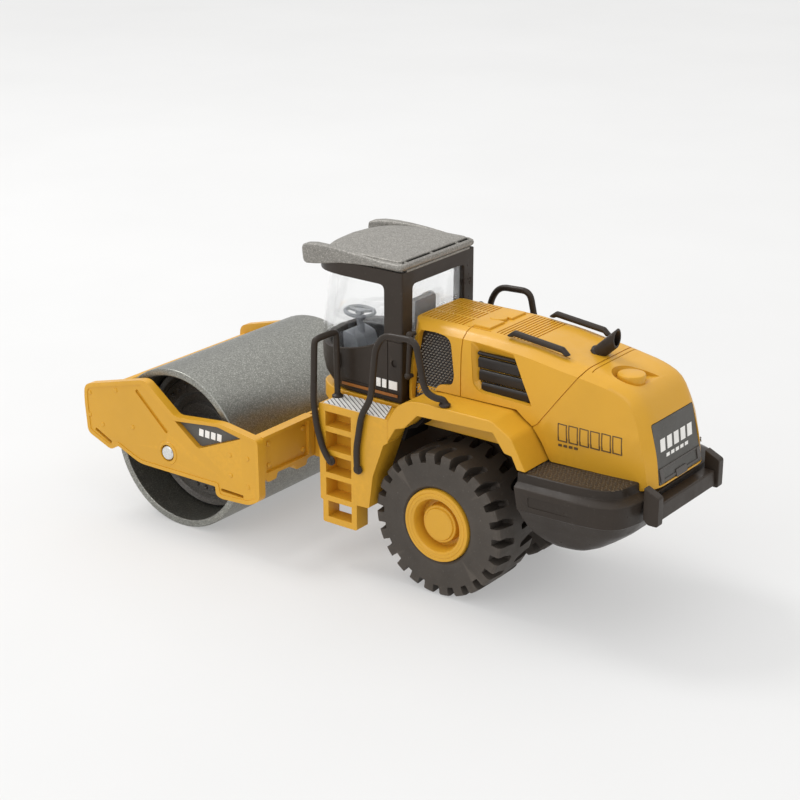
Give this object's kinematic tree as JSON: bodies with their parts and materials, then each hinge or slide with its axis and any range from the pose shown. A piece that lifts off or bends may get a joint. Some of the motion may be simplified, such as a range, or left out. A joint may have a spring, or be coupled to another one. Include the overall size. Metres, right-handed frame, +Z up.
{
  "type": "toy road roller",
  "caption": "Toy single-drum soil compactor with a hinged drum frame, smooth steel drum, cab with roof, sloping engine hood, side ladders, handrails and lugged rear tyres",
  "frame": {"origin": "centre of the footprint on the ground, under the tyres and the drum", "axes": "+Z up, the drum end points to -Y, the vehicle's left side is +X"},
  "size_m": [0.0668, 0.169, 0.0827],
  "materials": {
    "yellow_paint": "satin-gloss warm yellow enamel",
    "metallic_grey": "metallic grey paint with fine sparkle",
    "black_plastic": "moulded black plastic, soft sheen",
    "dark_inlay": "dark grey moulded plastic",
    "tyre_rubber": "moulded rubber, dull",
    "steel": "bright turned steel",
    "clear_plastic": "clear moulded plastic",
    "grey_trim": "mid grey moulded plastic"
  },
  "bodies": {
    "chassis": {"base_screw_front": "steel", "base_screw_rear": "steel", "bumper": "black_plastic", "cab_console": "grey_trim", "cab_frame": "black_plastic", "cab_glass": "clear_plastic", "cab_platform": "yellow_paint", "cab_tub": "black_plastic", "chassis_base": "black_plastic", "counterweight": "black_plastic", "exhaust_pipe": "black_plastic", "fender_left": "yellow_paint", "fender_right": "yellow_paint", "fuel_cap": "yellow_paint", "grab_bar_left": "black_plastic", "grab_bar_right": "black_plastic", "handrail_front_left": "black_plastic", "handrail_front_right": "black_plastic", "handrail_rear_left": "black_plastic", "handrail_rear_right": "black_plastic", "hood": "yellow_paint", "hood_rail_left": "black_plastic", "hood_rail_right": "black_plastic", "ladder_left": "yellow_paint", "ladder_right": "yellow_paint", "louvre_left": "black_plastic", "louvre_right": "black_plastic", "mesh_panel_left": "black_plastic", "mesh_panel_right": "black_plastic", "pivot_pin": "steel", "rear_guard_left": "black_plastic", "rear_guard_right": "black_plastic", "rear_panel": "black_plastic", "roof": "metallic_grey", "seat": "grey_trim", "steering_wheel": "grey_trim"},
    "front_frame": {"drum_axle": "steel", "frame_badge_left": "dark_inlay", "frame_badge_right": "dark_inlay", "frame_front_beam": "yellow_paint", "frame_plate_left": "yellow_paint", "frame_plate_right": "yellow_paint", "frame_rear_beam": "yellow_paint", "hitch_fork": "yellow_paint"},
    "drum": {"drum_disc_left": "dark_inlay", "drum_disc_right": "dark_inlay", "drum_shell": "metallic_grey"},
    "rear_wheels": {"rear_axle": "steel", "rim_left": "yellow_paint", "rim_right": "yellow_paint", "tyre_left": "tyre_rubber", "tyre_right": "tyre_rubber"}
  },
  "joints": [
    {"name": "articulation", "type": "hinge", "parent": "chassis", "child": "front_frame", "pos_m": [0, -0.0154, 0.0264], "axis": [0, 0, 1], "range_deg": [-20, 20]},
    {"name": "drum_roll", "type": "hinge", "parent": "front_frame", "child": "drum", "pos_m": [0, -0.054, 0.0223], "axis": [1, 0, 0], "continuous": true},
    {"name": "rear_axle_roll", "type": "hinge", "parent": "chassis", "child": "rear_wheels", "pos_m": [0, 0.0267, 0.019], "axis": [1, 0, 0], "continuous": true}
  ]
}
